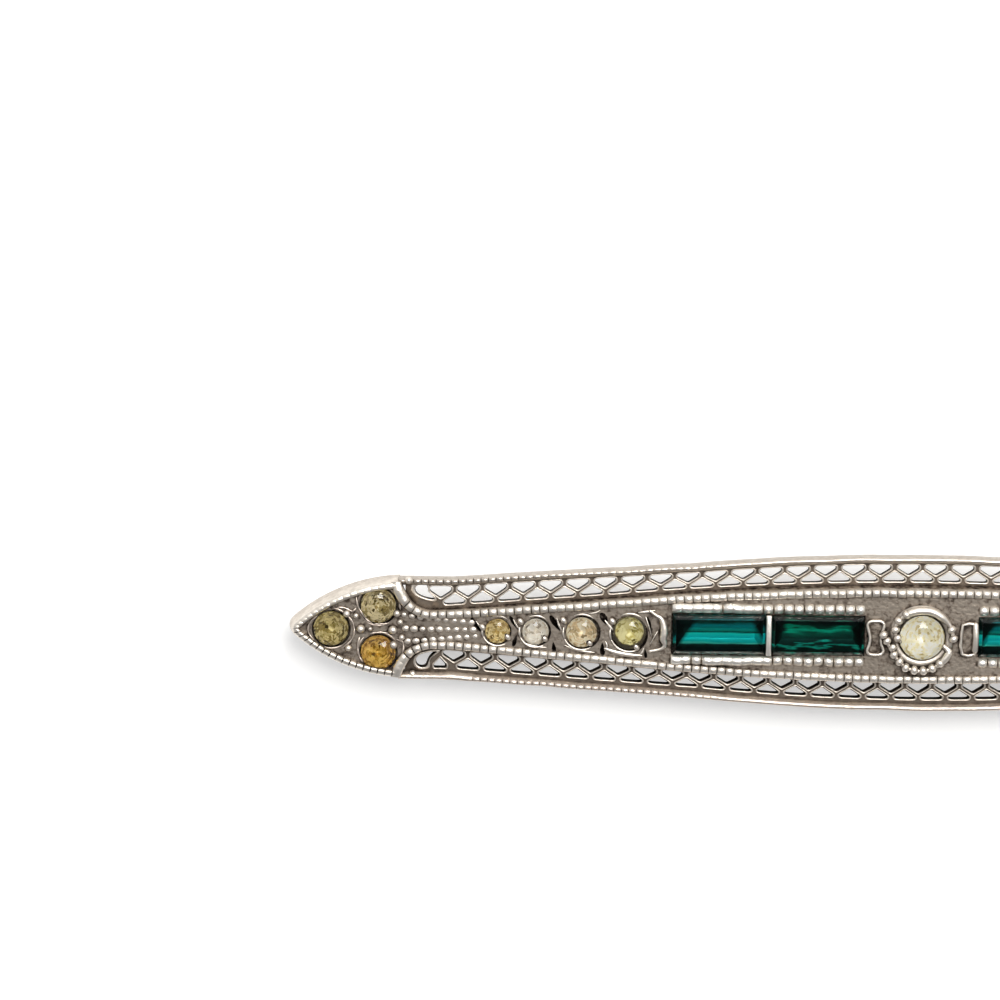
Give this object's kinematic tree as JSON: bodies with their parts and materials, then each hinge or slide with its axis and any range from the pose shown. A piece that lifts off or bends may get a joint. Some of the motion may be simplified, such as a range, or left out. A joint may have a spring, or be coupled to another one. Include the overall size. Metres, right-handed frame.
{
  "type": "bar brooch",
  "caption": "Long openwork bar brooch with leaf-shaped ends, beaded rims, pierced nets, green baguettes and small round stones, worn by a straight pin on its back.",
  "frame": {"origin": "on the surface that the brooch lies on, under the centre of its bounding box", "axes": "+X along the bar towards the hinge end, +Y across the bar towards the picture's top, +Z out of the jewelled face"},
  "size_m": [0.076, 0.0094, 0.0045],
  "materials": {
    "white_metal": "worn, tarnished in the recesses",
    "pin_steel": "satin",
    "emerald_glass": "polished, faceted",
    "pale_paste": "polished, faceted",
    "champagne_paste": "polished, faceted",
    "olive_paste": "polished, faceted",
    "amber_paste": "polished, faceted"
  },
  "bodies": {
    "root": {"openwork_frame": "white_metal", "pin_and_catch": "pin_steel", "centre_stone": "pale_paste", "baguette_left_outer": "emerald_glass", "baguette_left_inner": "emerald_glass", "baguette_right_inner": "emerald_glass", "baguette_right_outer": "emerald_glass", "row_stone_left_1": "olive_paste", "row_stone_left_2": "pale_paste", "row_stone_left_3": "champagne_paste", "row_stone_left_4": "olive_paste", "row_stone_right_1": "olive_paste", "row_stone_right_2": "pale_paste", "row_stone_right_3": "champagne_paste", "row_stone_right_4": "olive_paste", "leaf_stone_left_tip": "olive_paste", "leaf_stone_left_upper": "champagne_paste", "leaf_stone_left_lower": "amber_paste", "leaf_stone_right_tip": "olive_paste", "leaf_stone_right_upper": "champagne_paste", "leaf_stone_right_lower": "amber_paste"}
  },
  "joints": []
}
